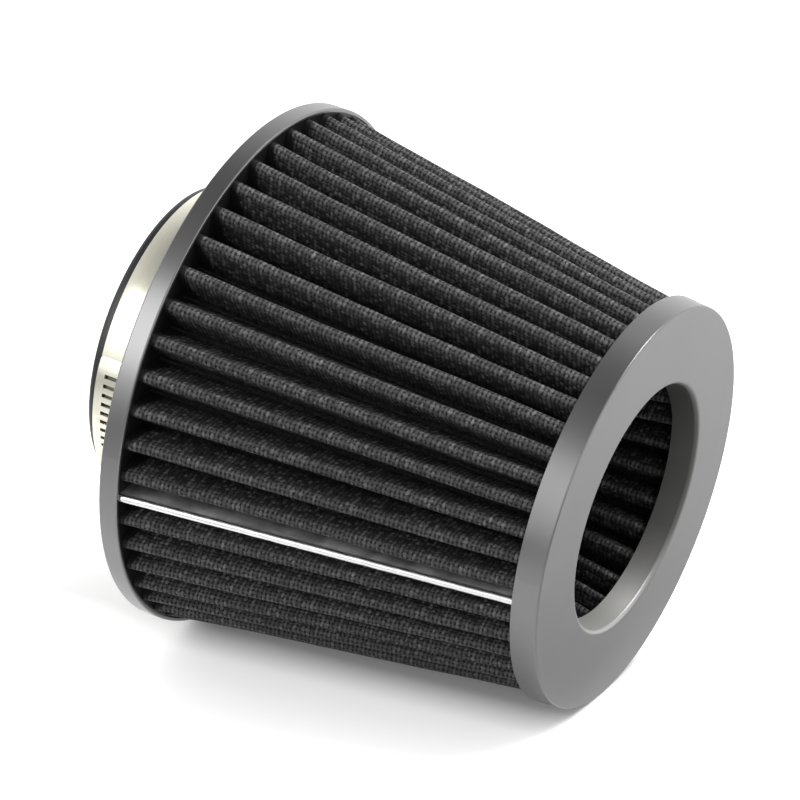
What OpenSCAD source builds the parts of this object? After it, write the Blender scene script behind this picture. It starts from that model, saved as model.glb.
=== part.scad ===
// Conical dry air filter with an inverted inner cone, in millimetres.
// The origin is the centre of the neck's mouth, and +Z runs from the neck to the open end cap.

/* [Base ring] */
// Outer diameter of the base ring
base_d = 150; // [142:1:160]
// Height of the base ring's edge
base_h = 5.7; // [5.2:0.1:8]
// Wall of the base ring's edge
base_wall = 1; // [0.8:0.1:1.8]
// Thickness of the base ring's back lip
base_lip_t = 1.2; // [1:0.1:1.6]
// Width of the base ring's back lip
base_lip_w = 6; // [4:0.5:9]
// Rounding of the ring's and cap's outer edges
edge_r = 0.5; // [0.3:0.05:0.7]

/* [Neck and flange] */
// Bore of the neck, for the pipe that it is pushed over
pipe_d = 76; // [70:0.5:80]
// Wall of the neck
neck_wall = 5.5; // [4:0.1:6.5]
// Height from the neck's mouth to the back of the base ring
neck_h = 24.3; // [22:0.1:32]
// Rounding of the neck's outer mouth edge
mouth_r = 1.7; // [1:0.1:2]
// Chamfer of the bore at the mouth
mouth_chamfer = 0.6; // [0.3:0.1:1]
// Radius of the bell between the bore and the flange's inner face
bell_r = 6; // [3:0.5:8]
// How far the flange stands behind the base ring
flange_proud = 2; // [1:0.1:3]
// Fillet between the neck and the flange
root_r = 2.5; // [1:0.1:3]
// How far the potting between the pleats stays below the edges of the base ring and the end cap
potting_drop = 0.6; // [0.4:0.1:2]

/* [End cap] */
// Outer diameter of the end cap at its back edge
cap_d = 115.4; // [114.6:0.2:124]
// Height of the end cap's side wall
cap_h = 7.4; // [6.4:0.1:9]
// How much less the cap's radius is at its front face
cap_draft = 0.6; // [0:0.1:1]
// Side wall of the end cap
cap_wall = 2.2; // [1.6:0.1:2.6]
// Thickness of the end cap's front face
cap_face_t = 1.8; // [1.2:0.1:2.2]
// Narrowest diameter of the end cap's hole, at its back edge
hole_d = 68; // [64:0.5:70]
// Wall around the end cap's hole
hole_wall = 1.8; // [1.2:0.1:2]
// How much the hole's radius grows towards the front face
hole_flare = 0.9; // [0.4:0.1:1.2]
// Rounding of the hole's front edge
hole_r = 1.5; // [1:0.1:1.7]

/* [Outer pleats] */
// Height of the outer pleats between the base ring and the end cap
body_h = 109.7; // [90:0.1:130]
// Number of outer ridges
outer_ridges = 47; // [40:1:50]
// Depth of the outer pleats
outer_depth = 10.4; // [8:0.1:11]
// Thickness of the pleated sheet
sheet_t = 1; // [0.7:0.05:1.1]
// How deep the pleats' ends sit in the base ring, the end cap and the end plate
seat_depth = 3; // [2:0.1:3.4]
// Outer radius of the folds on the outer pleats
outer_fold_r = 1.7; // [1.4:0.05:1.8]

/* [Inner cone] */
// Height of the inner cone between the end cap and its end plate
inner_h = 72; // [50:1:85]
// Diameter of the circle that its inner ridges touch at the narrow end
inner_end_d = 41.5; // [36:0.5:50]
// Number of outer ridges of the inner cone
inner_ridges = 27; // [22:1:28]
// Depth of the inner pleats
inner_depth = 7.2; // [5:0.1:8]
// Outer radius of the folds on the inner pleats
inner_fold_r = 1.3; // [1.1:0.05:1.4]
// Floor and wall of the end plate that closes the inner cone
plate_t = 1.6; // [1.2:0.1:2.5]

/* [Seam clips] */
// Angle of the outer seam about the axis
outer_seam_angle = 9; // [0:1:20]
// Angle of the inner cone's seam about the axis
inner_seam_angle = 9; // [0:1:20]
// Sheet metal of the seam clips
clip_t = 0.5; // [0.4:0.05:0.6]
// Thickness of each crimped end of the pleated sheet
tab_t = 0.6; // [0.4:0.05:0.7]
// Depth of the outer seam clip's legs
outer_clip_leg = 7.5; // [5:0.1:8]
// Depth of the inner seam clip's legs
inner_clip_leg = 4.6; // [3.5:0.1:4.8]

/* [Hose clamp] */
// Width of the clamp's band
band_w = 12.7; // [12:0.1:14]
// Thickness of the clamp's band
band_t = 0.65; // [0.5:0.05:0.8]
// Distance from the neck's mouth to the band
band_z = 3; // [2.2:0.1:4]
// Angle of the clamp's housing about the axis
housing_angle = 69; // [60:1:80]
// Angle that the band's slotted tail runs past the housing
tail_angle = 82; // [40:1:110]
// Distance between the band's slots
slot_pitch = 2.7; // [2.4:0.05:3.2]
// Width of the band's slots
slot_w = 1.1; // [0.8:0.05:1.3]
// Length of the band's slots
slot_l = 7.7; // [6:0.1:8.4]
// Plain length of the tail's tip
tip_l = 5.1; // [3:0.1:8]
// Root diameter of the worm screw's thread
screw_root_d = 6.6; // [6.2:0.1:6.8]
// Outer diameter of the worm screw's thread
screw_thread_d = 7.9; // [7.4:0.1:8.2]
// Length of the clamp's housing along the band
housing_l = 14; // [12:0.5:16]
// Sheet metal of the housing and the saddle
housing_t = 0.7; // [0.5:0.05:0.8]
// Distance across the flats of the screw's head
head_af = 7; // [6:0.1:7]
// Height of the screw's hexagonal head
head_h = 4.6; // [4:0.1:6]
// Radius of the collar under the screw's head
collar_r = 3.9; // [3.7:0.1:4]
// Thickness of the collar under the screw's head
collar_t = 0.9; // [0.7:0.1:1.2]
// Width of the slot in the screw's head
driver_slot_w = 1.2; // [1:0.1:1.4]
// Depth of the slot in the screw's head
driver_slot_d = 1.6; // [1:0.1:2]

/* [Clearances] */
// Clearance around the pleats' ends in the potting
seat_clear = 0.2; // [0.05:0.05:0.3]
// Clearance between round pieces that fit in each other
fit = 0.05; // [0.03:0.01:0.1]
// Clearance around the worm screw's thread in its housing
thread_clear = 0.25; // [0.15:0.05:0.35]

/* [Hidden] */

$fn = 120;
cut = 1;

base_r = base_d / 2;
pipe_r = pipe_d / 2;
neck_r = pipe_r + neck_wall;
cap_r = cap_d / 2;
hole_back_r = hole_d / 2;

base_back_z = neck_h;
base_front_z = neck_h + base_h;
cap_back_z = base_front_z + body_h;
cap_front_z = cap_back_z + cap_h;
pleats_low_z = base_front_z - seat_depth;
pleats_high_z = cap_back_z + seat_depth;
base_potting_z = base_front_z - potting_drop;
cap_potting_z = cap_back_z + potting_drop;

// The outer pleats lean from the base ring's wall to the end cap's side wall.
base_in_r = base_r - base_wall;
cap_in_r = cap_r - cap_wall;
outer_low_r = base_in_r - fit;
outer_lean = (cap_in_r - fit - outer_low_r) / (cap_back_z - pleats_low_z);
function outer_ridge_r(z) = outer_low_r + outer_lean * (z - pleats_low_z);

// The inner pleats lean from the wall around the hole to the end plate, and their ridge radius
// here is the outer one.
inner_low_z = cap_back_z - inner_h;
inner_seat_z = inner_low_z - seat_depth;
inner_top_r = hole_back_r + hole_wall + fit + inner_depth;
inner_lean = (inner_top_r - inner_depth - inner_end_d / 2) / inner_h;
function inner_ridge_r(z) = inner_top_r + inner_lean * (z - cap_back_z);

// Distance from a seam to the next ridge, as a share of the pleats' pitch
SEAM_SHARE = 0.79;
// Points on each fold, and how far the fold turns to each side
FOLD_STEPS = 7;
FOLD_TURN = 78;
// Gap between the two ends of a sheet inside its clip
TAB_GAP = 0.1;
// Gap between the inner pleats and the end plate's boss
boss_clear = 0.3;
// Rounding of the flange's and the end plate's soft edges
soft_r = 1;
// How far the saddle's folded ears reach over the housing's feet
ear_lip_w = 1.3;
// How far the worm screw's tip stands out of the housing
stub_l = 1.2;

function polar(r, a) = [r * cos(a), r * sin(a)];
function arc(centre, r, from, to, n = 6) =
    [for (i = [0:n]) centre + polar(r, from + (to - from) * i / n)];
function reversed(v) = [for (i = [len(v) - 1:-1:0]) v[i]];

// A strip between two skins at a low and a high section, such as a folded sheet. Its outer skin is
// on the right of its path.
module strip_solid(low_outer, low_inner, high_outer, high_inner, low_z, high_z) {
    n = len(low_outer);
    points = concat(
        [for (p = low_outer) [p.x, p.y, low_z]], [for (p = low_inner) [p.x, p.y, low_z]],
        [for (p = high_outer) [p.x, p.y, high_z]], [for (p = high_inner) [p.x, p.y, high_z]]);
    polyhedron(points, concat(
        skin_faces(0, 2 * n, n), skin_faces(3 * n, n, n), skin_faces(n, 0, n), skin_faces(2 * n, 3 * n, n),
        [[n, 3 * n, 2 * n], [n, 2 * n, 0]],
        [[n - 1, 3 * n - 1, 4 * n - 1], [n - 1, 4 * n - 1, 2 * n - 1]]));
}
function skin_faces(a, b, n) =
    [for (i = [0:n - 2]) each [[a + i, b + i, b + i + 1], [a + i, b + i + 1, a + i + 1]]];

// A folded sheet's section: n ridges that reach radius r, and valleys between them. side is 1 for
// its outer skin and -1 for its inner one. The sheet is open at the seam, where its two ends stand
// side by side.
function pitch_of(n) = 360 / (n - 1 + 2 * SEAM_SHARE);
function ridge_angle(n, i) = pitch_of(n) * (SEAM_SHARE + i);
function fold(centre_r, centre_a, r, from, to) =
    [for (i = [0:FOLD_STEPS - 1])
        polar(centre_r, centre_a) + polar(r, centre_a + from + (to - from) * i / (FOLD_STEPS - 1))];
function ridge_fold(n, i, r, fold_r, side) =
    fold(r - fold_r, ridge_angle(n, i), fold_r - (side > 0 ? 0 : sheet_t), -FOLD_TURN, FOLD_TURN);
function valley_fold(a, r, depth, fold_r, side) =
    fold(r - depth + fold_r, a, fold_r - (side > 0 ? sheet_t : 0), 180 + FOLD_TURN, 180 - FOLD_TURN);
function sheet_skin(n, r, depth, fold_r, clip_leg, side) = let (
        first_valley = pitch_of(n) * SEAM_SHARE / 2,
        tab_y = TAB_GAP / 2 + (side > 0 ? tab_t : 0),
        tab_top = r - clip_half_w,
        tab_low = r - clip_leg - sheet_t / 2)
    concat(
        [[tab_top, tab_y], [tab_low, tab_y]],
        valley_fold(first_valley, r, depth, fold_r, side),
        [for (i = [0:n - 1]) each concat(
            ridge_fold(n, i, r, fold_r, side),
            valley_fold(i < n - 1 ? ridge_angle(n, i + 0.5) : 360 - first_valley,
                r, depth, fold_r, side))],
        [[tab_low, -tab_y], [tab_top, -tab_y]]);

module folded_sheet(n, low_r, high_r, depth, fold_r, clip_leg, low_z, high_z) {
    strip_solid(
        sheet_skin(n, low_r, depth, fold_r, clip_leg, 1), sheet_skin(n, low_r, depth, fold_r, clip_leg, -1),
        sheet_skin(n, high_r, depth, fold_r, clip_leg, 1), sheet_skin(n, high_r, depth, fold_r, clip_leg, -1),
        low_z, high_z);
}

// A folded strip of sheet metal that grips the two ends of a sheet.
clip_in_w = TAB_GAP / 2 + tab_t;
clip_half_w = clip_in_w + clip_t;
function clip_skin(r, leg, half_w) = concat(
    [[r - leg, -half_w]], arc([r - clip_half_w, 0], half_w, -90, 90, 8), [[r - leg, half_w]]);

module seam_clip(low_r, high_r, leg, low_z, high_z) {
    strip_solid(
        clip_skin(low_r, leg, clip_half_w), clip_skin(low_r, leg, clip_in_w),
        clip_skin(high_r, leg, clip_half_w), clip_skin(high_r, leg, clip_in_w),
        low_z, high_z);
}

// The outline of the seat that a folded sheet and its clip leave in the potting. The sheet leans
// from wide_r to narrow_r within the seat.
module sheet_seat(n, wide_r, narrow_r, depth, fold_r, clip_leg) {
    polygon(concat(
        sheet_skin(n, wide_r + seat_clear, depth, fold_r, clip_leg, 1),
        reversed(sheet_skin(n, narrow_r - seat_clear, depth, fold_r, clip_leg, -1))));
    polygon(clip_skin(wide_r + seat_clear, clip_leg + wide_r - narrow_r + 2 * seat_clear,
        clip_half_w + seat_clear));
}

module base_ring() {
    lip_r = base_r - base_lip_w;
    lip_z = base_back_z + base_lip_t;
    color("dimgray") rotate_extrude() polygon(concat(
        [[lip_r, base_back_z]],
        arc([base_r - edge_r, base_back_z + edge_r], edge_r, 270, 360, 3),
        arc([base_r - edge_r, base_front_z - edge_r], edge_r, 0, 90, 3),
        [[base_in_r, base_front_z], [base_in_r, lip_z], [lip_r, lip_z]]));
}

// The neck, the flange and the potting around the outer pleats' ends are one moulding.
module neck_flange() {
    back_z = base_back_z - flange_proud;
    lip_z = base_back_z + base_lip_t;
    step_r = base_r - base_lip_w - fit;
    color([0.1, 0.1, 0.1]) difference() {
        rotate_extrude() polygon(concat(
            [[pipe_r + mouth_chamfer, 0]],
            arc([neck_r - mouth_r, mouth_r], mouth_r, 270, 360),
            arc([neck_r + root_r, back_z - root_r], root_r, 180, 90),
            arc([step_r - soft_r, back_z + soft_r], soft_r, 270, 360, 4),
            [[step_r, lip_z], [base_in_r - fit, lip_z], [base_in_r - fit, base_potting_z]],
            arc([pipe_r + bell_r, base_potting_z - bell_r], bell_r, 90, 180, 8),
            [[pipe_r, mouth_chamfer]]));
        translate([0, 0, pleats_low_z]) rotate(outer_seam_angle) linear_extrude(seat_depth) sheet_seat(
            outer_ridges, outer_low_r, outer_ridge_r(base_potting_z),
            outer_depth, outer_fold_r, outer_clip_leg);
    }
}

module outer_pleats() {
    color([0.16, 0.16, 0.17]) rotate(outer_seam_angle) folded_sheet(
        outer_ridges, outer_ridge_r(pleats_low_z), outer_ridge_r(pleats_high_z),
        outer_depth, outer_fold_r, outer_clip_leg, pleats_low_z, pleats_high_z);
}

module outer_seam_clip() {
    color("silver") rotate(outer_seam_angle) seam_clip(
        outer_ridge_r(pleats_low_z), outer_ridge_r(pleats_high_z), outer_clip_leg,
        pleats_low_z, pleats_high_z);
}

// A ring of channel section, open to the back, that holds the ends of both packs of pleats.
module end_cap() {
    front_r = cap_r - cap_draft;
    hole_front_r = hole_back_r + hole_flare;
    ceiling_z = cap_front_z - cap_face_t;
    color("dimgray") rotate_extrude() polygon(concat(
        [[cap_in_r, cap_back_z], [cap_r, cap_back_z]],
        arc([front_r - edge_r, cap_front_z - edge_r], edge_r, 0, 90, 3),
        arc([hole_front_r + hole_r, cap_front_z - hole_r], hole_r, 90, 180),
        [[hole_back_r, cap_back_z], [hole_back_r + hole_wall, cap_back_z],
            [hole_back_r + hole_wall, ceiling_z], [cap_in_r, ceiling_z]]));
}

// The ring of potting that fills the end cap's channel and holds the ends of both packs of pleats.
module cap_potting() {
    ceiling_z = cap_front_z - cap_face_t;
    color([0.1, 0.1, 0.1]) difference() {
        translate([0, 0, cap_potting_z]) cylinder(r = cap_in_r - fit, h = ceiling_z - cap_potting_z);
        translate([0, 0, cap_back_z]) {
            cylinder(r = hole_back_r + hole_wall + fit, h = cap_h);
            rotate(outer_seam_angle) linear_extrude(seat_depth) sheet_seat(
                outer_ridges, outer_ridge_r(cap_potting_z), outer_ridge_r(pleats_high_z),
                outer_depth, outer_fold_r, outer_clip_leg);
            rotate(inner_seam_angle) linear_extrude(seat_depth) sheet_seat(
                inner_ridges, inner_ridge_r(pleats_high_z), inner_ridge_r(cap_potting_z),
                inner_depth, inner_fold_r, inner_clip_leg);
        }
    }
}

module inner_pleats() {
    color([0.16, 0.16, 0.17]) rotate(inner_seam_angle) folded_sheet(
        inner_ridges, inner_ridge_r(inner_seat_z), inner_ridge_r(pleats_high_z),
        inner_depth, inner_fold_r, inner_clip_leg, inner_seat_z, pleats_high_z);
}

module inner_seam_clip() {
    color("silver") rotate(inner_seam_angle) seam_clip(
        inner_ridge_r(inner_seat_z), inner_ridge_r(pleats_high_z), inner_clip_leg,
        inner_seat_z, pleats_high_z);
}

// A dish that closes the narrow end of the inner cone.
module inner_end_plate() {
    floor_z = inner_seat_z - plate_t;
    wall_in_r = inner_ridge_r(inner_low_z) + fit;
    wall_out_r = wall_in_r + plate_t;
    boss_r = inner_ridge_r(inner_seat_z) - inner_depth - boss_clear;
    color([0.1, 0.1, 0.1]) rotate_extrude() polygon(concat(
        [[0, floor_z]],
        arc([wall_out_r - soft_r, floor_z + soft_r], soft_r, 270, 360, 4),
        [[wall_out_r, inner_low_z], [wall_in_r, inner_low_z], [wall_in_r, inner_seat_z],
            [boss_r, inner_seat_z]],
        arc([boss_r - soft_r, inner_low_z - soft_r], soft_r, 0, 90, 4),
        [[0, inner_low_z]]));
}

// The clamp's band runs once round the neck, rises over its own fixed end and the saddle, and
// passes under the worm screw as a slotted tail. turn is the angle travelled from its fixed end.
band_mid_z = band_z + band_w / 2;
saddle_r = neck_r + band_t + fit;
under_screw_r = saddle_r + housing_t + fit;
foot_r = under_screw_r + band_t + fit;
screw_r = foot_r + screw_root_d / 2;
half_housing_a = asin(housing_l / 2 / neck_r);
// Angle over which the band rises to pass under the screw
RISE_A = 16;
// How far inside the housing the band's fixed end stops
END_A = 2;
// Angle of each short flat that the band is made of
BAND_STEP = 3;
fixed_a = half_housing_a - END_A;
rise_to = 360 + fixed_a - half_housing_a;
rise_from = rise_to - RISE_A;
tail_from = 360 + fixed_a + half_housing_a;
tail_to = 360 + fixed_a + tail_angle;
tail_tip_r = neck_r + band_t + 2 * fit;
function ease(x) = x * x * (3 - 2 * x);
function band_r(turn) =
    turn < rise_from ? neck_r :
    turn < rise_to ? neck_r + (under_screw_r - neck_r) * ease((turn - rise_from) / RISE_A) :
    turn < tail_from ? under_screw_r :
    under_screw_r + (tail_tip_r - under_screw_r) * (turn - tail_from) / (tail_to - tail_from);
function band_angle(turn) = housing_angle + fixed_a - turn;

module clamp_band() {
    steps = ceil(tail_to / BAND_STEP);
    turns = [for (i = [0:steps]) tail_to * i / steps];
    slots = floor(((tail_to - rise_from) * PI / 180 * neck_r - tip_l) / slot_pitch);
    color("lightgray") difference() {
        translate([0, 0, band_z]) linear_extrude(band_w) polygon(concat(
            [for (t = turns) polar(band_r(t) / cos(BAND_STEP / 2), band_angle(t))],
            [for (t = reversed(turns)) polar(band_r(t) + band_t, band_angle(t))]));
        for (i = [0:slots]) {
            turn = tail_to - (tip_l + slot_pitch * i) / neck_r * 180 / PI;
            rotate(band_angle(turn)) translate([band_r(turn) - fit, -slot_w / 2, band_mid_z - slot_l / 2])
                cube([band_t + cut, slot_w, slot_l]);
        }
    }
}

// A plate curved about the neck's axis, from radius from_r to to_r, as long as the housing. It
// spans the heights low to high from the band's middle.
module curved_plate(from_r, to_r, low, high) {
    intersection() {
        translate([0, 0, low]) difference() {
            cylinder(r = to_r, h = high - low);
            translate([0, 0, -cut]) cylinder(r = from_r, h = high - low + 2 * cut);
        }
        translate([0, -housing_l / 2, low - cut]) cube([to_r + cut, housing_l, high - low + 2 * cut]);
    }
}

module clamp_frame() {
    translate([0, 0, band_mid_z]) rotate(housing_angle) children();
}

// The saddle lies between the band's two layers, and its ears are folded over the housing's feet.
module clamp_saddle() {
    ear_in = band_w / 2 + 2 * fit;
    ear_out = ear_in + housing_t;
    lip_r = foot_r + housing_t + fit;
    color("lightgray") clamp_frame() {
        curved_plate(saddle_r, saddle_r + housing_t, -ear_out, ear_out);
        for (side = [0, 1]) mirror([0, 0, side]) {
            curved_plate(saddle_r, lip_r + housing_t, ear_in, ear_out);
            curved_plate(lip_r, lip_r + housing_t, ear_in - ear_lip_w, ear_out);
        }
    }
}

// A length of round bar along the worm screw's axis, from one place along it to another.
module along_screw(r, from, to) {
    translate([screw_r, from, 0]) rotate([-90, 0, 0]) cylinder(r = r, h = to - from);
}

// The hood over the worm screw, with a cheek at each end that the screw turns in.
module clamp_housing() {
    hood_in_r = screw_thread_d / 2 + thread_clear;
    hood_out_r = hood_in_r + housing_t;
    half_l = housing_l / 2;
    color("lightgray") clamp_frame() {
        difference() {
            union() {
                along_screw(hood_out_r, -half_l, half_l);
                translate([0, -half_l, -hood_out_r]) cube([screw_r, housing_l, 2 * hood_out_r]);
            }
            along_screw(hood_in_r, -half_l + housing_t, half_l - housing_t);
            translate([0, -half_l + housing_t, -hood_in_r])
                cube([screw_r, housing_l - 2 * housing_t, 2 * hood_in_r]);
            along_screw(screw_root_d / 2 + fit, -housing_l, housing_l);
            translate([0, 0, -band_w]) cylinder(r = foot_r, h = 2 * band_w);
        }
        for (side = [0, 1]) mirror([0, 0, side])
            curved_plate(foot_r, foot_r + housing_t, hood_in_r + housing_t / 2, band_w / 2);
    }
}

module clamp_screw() {
    half_l = housing_l / 2;
    collar_y = half_l + fit;
    head_y = collar_y + collar_t;
    color("silver") clamp_frame() difference() {
        union() {
            along_screw(screw_root_d / 2, -half_l - stub_l, head_y);
            along_screw(collar_r, collar_y, head_y);
            translate([screw_r, head_y, 0]) rotate([-90, 0, 0])
                cylinder(r = head_af / 2 / cos(30), h = head_h, $fn = 6);
        }
        translate([screw_r - driver_slot_w / 2, head_y + head_h - driver_slot_d, -head_af])
            cube([driver_slot_w, driver_slot_d + cut, 2 * head_af]);
    }
}

base_ring();
neck_flange();
outer_pleats();
outer_seam_clip();
end_cap();
cap_potting();
inner_pleats();
inner_seam_clip();
inner_end_plate();
clamp_band();
clamp_saddle();
clamp_housing();
clamp_screw();
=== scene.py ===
"""The looks of a cone air filter: its pleated packs, seam clips, rings, neck, hose clamp and studio."""

import math

import bpy
from mathutils import Matrix, Vector, noise


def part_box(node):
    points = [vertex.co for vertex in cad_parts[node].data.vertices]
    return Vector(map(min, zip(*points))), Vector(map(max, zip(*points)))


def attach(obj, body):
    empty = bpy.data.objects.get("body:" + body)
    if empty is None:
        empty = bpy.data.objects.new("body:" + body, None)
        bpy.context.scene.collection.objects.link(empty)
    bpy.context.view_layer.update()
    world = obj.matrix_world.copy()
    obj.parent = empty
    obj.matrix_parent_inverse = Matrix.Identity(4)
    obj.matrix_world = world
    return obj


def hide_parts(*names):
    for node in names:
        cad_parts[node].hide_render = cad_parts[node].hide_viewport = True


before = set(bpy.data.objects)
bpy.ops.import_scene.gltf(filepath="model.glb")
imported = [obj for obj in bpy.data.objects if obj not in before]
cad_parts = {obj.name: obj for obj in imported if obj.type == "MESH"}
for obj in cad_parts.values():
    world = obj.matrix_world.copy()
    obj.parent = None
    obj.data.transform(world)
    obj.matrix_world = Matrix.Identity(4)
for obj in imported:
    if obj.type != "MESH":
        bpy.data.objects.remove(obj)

bl_info = {
    "name": "Cone air filter",
    "version": (1, 0, 0),
    "blender": (4, 5, 0),
    "location": "3D View > Sidebar > Cone filter",
    "description": "Models and finishes the pieces of a conical air filter around its fixed frame",
    "category": "Object",
}

MM = 0.001
TURN = 2 * math.pi
TOUCH = 0.05 * MM

BASE_BACK, BASE_FRONT = (corner.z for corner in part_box("base_ring"))
CAP_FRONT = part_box("end_cap")[1].z
BAND_LOW, BAND_HIGH = (corner.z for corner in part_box("clamp_band"))


def distances(node_name, height):
    """How far a frame node's vertices at one height are from the filter's axis."""
    found = [v.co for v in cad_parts[node_name].data.vertices if abs(v.co.z - height) < TOUCH]
    return [math.hypot(co.x, co.y) for co in found]


def reach(node_name, height):
    return max(distances(node_name, height))


def ridge_line(node_name):
    """The straight line of a pack's ridges, as its distance from the axis at height 0 and its slope."""
    low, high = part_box(node_name)
    wide, narrow = reach(node_name, low.z), reach(node_name, high.z)
    slope = (narrow - wide) / (high.z - low.z)
    return wide - slope * low.z, slope


def polar(radius, angle, height=0.0):
    """The point at a distance and an angle about the filter's axis."""
    return Vector((radius * math.cos(angle), radius * math.sin(angle), height))


# Settings

def length_setting(name, description, millimetres):
    return bpy.props.FloatProperty(
        name=name, description=description, default=millimetres * MM, unit="LENGTH", precision=5)


def angle_setting(name, description, degrees):
    return bpy.props.FloatProperty(
        name=name, description=description, default=math.radians(degrees), subtype="ANGLE")


def colour_setting(name, description, colour):
    return bpy.props.FloatVectorProperty(
        name=name, description=description, default=colour, subtype="COLOR", min=0, max=1)


def pack_settings(ridges, depth, fold_radius, clip_leg, sway, gather, rows, seen_inside):
    """The settings of a pleated pack, with one pack's own defaults in millimetres and degrees."""
    return {
        "ridges": bpy.props.IntProperty(
            name="Ridges", description="Number of ridges round the pack", default=ridges, min=12),
        "seam_angle": angle_setting("Seam angle", "Angle of the seam about the axis", 9),
        "seam_share": bpy.props.FloatProperty(
            name="Seam share", description="Distance from the seam to the next ridge, in pitches",
            default=0.79),
        "depth": length_setting("Depth", "Depth of the pleats", depth),
        "fold_radius": length_setting("Fold radius", "Outer radius of each fold", fold_radius),
        "sheet": length_setting("Sheet", "Thickness of the folded sheet", 1.0),
        "clip_leg": length_setting("Clip leg", "Depth of the seam clip's legs", clip_leg),
        "sway": length_setting("Sway", "How far a ridge wanders from its straight line", sway),
        "gather": angle_setting(
            "Gather", "Angle by which the pleats' lower ends have crept round beside the seam", gather),
        "rows": bpy.props.IntProperty(
            name="Rows", description="Divisions along the pleats", default=rows, min=4),
        "seen_inside": bpy.props.BoolProperty(
            name="Seen inside", description="Whether the folds that show are the inner ones",
            default=seen_inside),
    }


class OuterPackSettings(bpy.types.PropertyGroup):
    """Sizes of the outer cone of pleats, whose ridges show"""

    __annotations__ = pack_settings(
        ridges=47, depth=10.4, fold_radius=1.7, clip_leg=7.5, sway=0.35, gather=1.3, rows=22,
        seen_inside=False)


class InnerPackSettings(bpy.types.PropertyGroup):
    """Sizes of the inner cone of pleats, whose valleys show through the hole"""

    __annotations__ = pack_settings(
        ridges=27, depth=7.2, fold_radius=1.3, clip_leg=4.6, sway=0.2, gather=0, rows=16,
        seen_inside=True)


class ClampSettings(bpy.types.PropertyGroup):
    """Sizes of the hose clamp"""

    neck_radius: length_setting("Neck radius", "Outer radius of the neck", 43.5)
    band: length_setting("Band", "Thickness of the band", 0.65)
    plate: length_setting("Plate", "Thickness of the saddle under the screw", 0.7)
    fit: length_setting("Fit", "Gap between the clamp's layers", 0.05)
    housing_angle: angle_setting("Housing angle", "Angle of the housing about the axis", 69)
    housing_length: length_setting("Housing length", "Length of the housing along the band", 14)
    tail_angle: angle_setting("Tail angle", "Angle that the slotted tail runs past the housing", 82)
    slot_pitch: length_setting("Slot pitch", "Distance between slots", 2.7)
    slot_width: length_setting("Slot width", "Width of a slot along the band", 1.1)
    slot_length: length_setting("Slot length", "Length of a slot across the band", 7.7)
    tip: length_setting("Tip", "Plain length of the tail's tip", 5.1)
    root: length_setting("Thread root", "Root diameter of the worm thread", 6.6)
    thread: length_setting("Thread", "Outer diameter of the worm thread", 7.9)


class FinishSettings(bpy.types.PropertyGroup):
    """Colours of the filter's finishes"""

    satin: colour_setting("Satin rings", "Colour of the base ring and the end cap", (0.222, 0.22, 0.222))
    # The hole's colour shows in full only on the wall's lower side; round the rest the wall has a darker
    # copy of it, painted shade.
    bore: colour_setting("Cap's hole", "Colour of the wall inside the end cap's hole", (0.4, 0.397, 0.383))
    rubber: colour_setting(
        "Rubber", "Colour of the neck, the potting and the end plate", (0.011, 0.011, 0.012))
    thread: colour_setting("Screen thread", "Colour of the screen's threads", (0.108, 0.106, 0.107))
    fleece: colour_setting("Fleece", "Colour of the fleece behind the screen", (0.013, 0.0125, 0.013))
    steel: colour_setting("Stainless steel", "Colour of the clamp", (0.86, 0.84, 0.71))
    strip: colour_setting("Bright strip", "Colour of the seam clips", (0.86, 0.86, 0.87))


class StageSettings(bpy.types.PropertyGroup):
    """Camera, table and lamps"""

    heading: angle_setting(
        "Heading", "Camera's angle from the filter's axis, seen from above the table", 61.446)
    elevation: angle_setting("Elevation", "Camera's angle above the table", 22.733)
    roll: angle_setting("Roll", "Camera's roll", 0.26)
    distance: length_setting("Distance", "Camera's distance from the point that it looks at", 1208.4)
    aim: bpy.props.FloatVectorProperty(
        name="Aim", description="Point that the camera looks at", default=(-0.001805, -0.00451, 0.072014),
        subtype="TRANSLATION")
    lens: bpy.props.FloatProperty(
        name="Lens", description="Focal length on a 36 mm sensor", default=198.96, unit="CAMERA")
    table_size: length_setting("Table", "Width of the table", 6000)


class FilterSettings(bpy.types.PropertyGroup):
    """All settings of the cone air filter"""

    outer: bpy.props.PointerProperty(type=OuterPackSettings)
    inner: bpy.props.PointerProperty(type=InnerPackSettings)
    clamp: bpy.props.PointerProperty(type=ClampSettings)
    finish: bpy.props.PointerProperty(type=FinishSettings)
    stage: bpy.props.PointerProperty(type=StageSettings)


def settings():
    return bpy.context.scene.cone_filter


# Nodes of a material

def feed(tree, node, inputs):
    """Sets or links the inputs of a node."""
    for name, value in inputs.items():
        if isinstance(value, bpy.types.NodeSocket):
            tree.links.new(value, node.inputs[name])
        else:
            node.inputs[name].default_value = value


def put(tree, kind, inputs=None, **options):
    """Adds a node, sets its options, and sets or links its inputs."""
    made = tree.nodes.new(kind)
    for name, value in options.items():
        setattr(made, name, value)
    feed(tree, made, inputs or {})
    return made


def reckon(tree, operation, first, second=0.0, third=0.0, clamp=False):
    """One Math node, and its output."""
    made = put(tree, "ShaderNodeMath", {0: first, 1: second, 2: third}, operation=operation, use_clamp=clamp)
    return made.outputs[0]


def vectors(tree, operation, first, second):
    """One Vector Math node, and its outputs."""
    return put(tree, "ShaderNodeVectorMath", {0: first, 1: second}, operation=operation).outputs


def scaled(tree, vector, factor):
    inputs = {0: vector, "Scale": factor}
    return put(tree, "ShaderNodeVectorMath", inputs, operation="SCALE").outputs[0]


def parts_of(tree, vector):
    return put(tree, "ShaderNodeSeparateXYZ", {0: vector}).outputs


def cloud_at(tree, place, scale, detail):
    """The value of a noise texture."""
    inputs = {"Vector": place, "Scale": scale, "Detail": detail}
    return put(tree, "ShaderNodeTexNoise", inputs).outputs["Fac"]


def blended(tree, share, first, second):
    """A colour between two others."""
    made = put(tree, "ShaderNodeMix", {0: share, 6: first, 7: second}, data_type="RGBA")
    return made.outputs[2]


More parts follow.
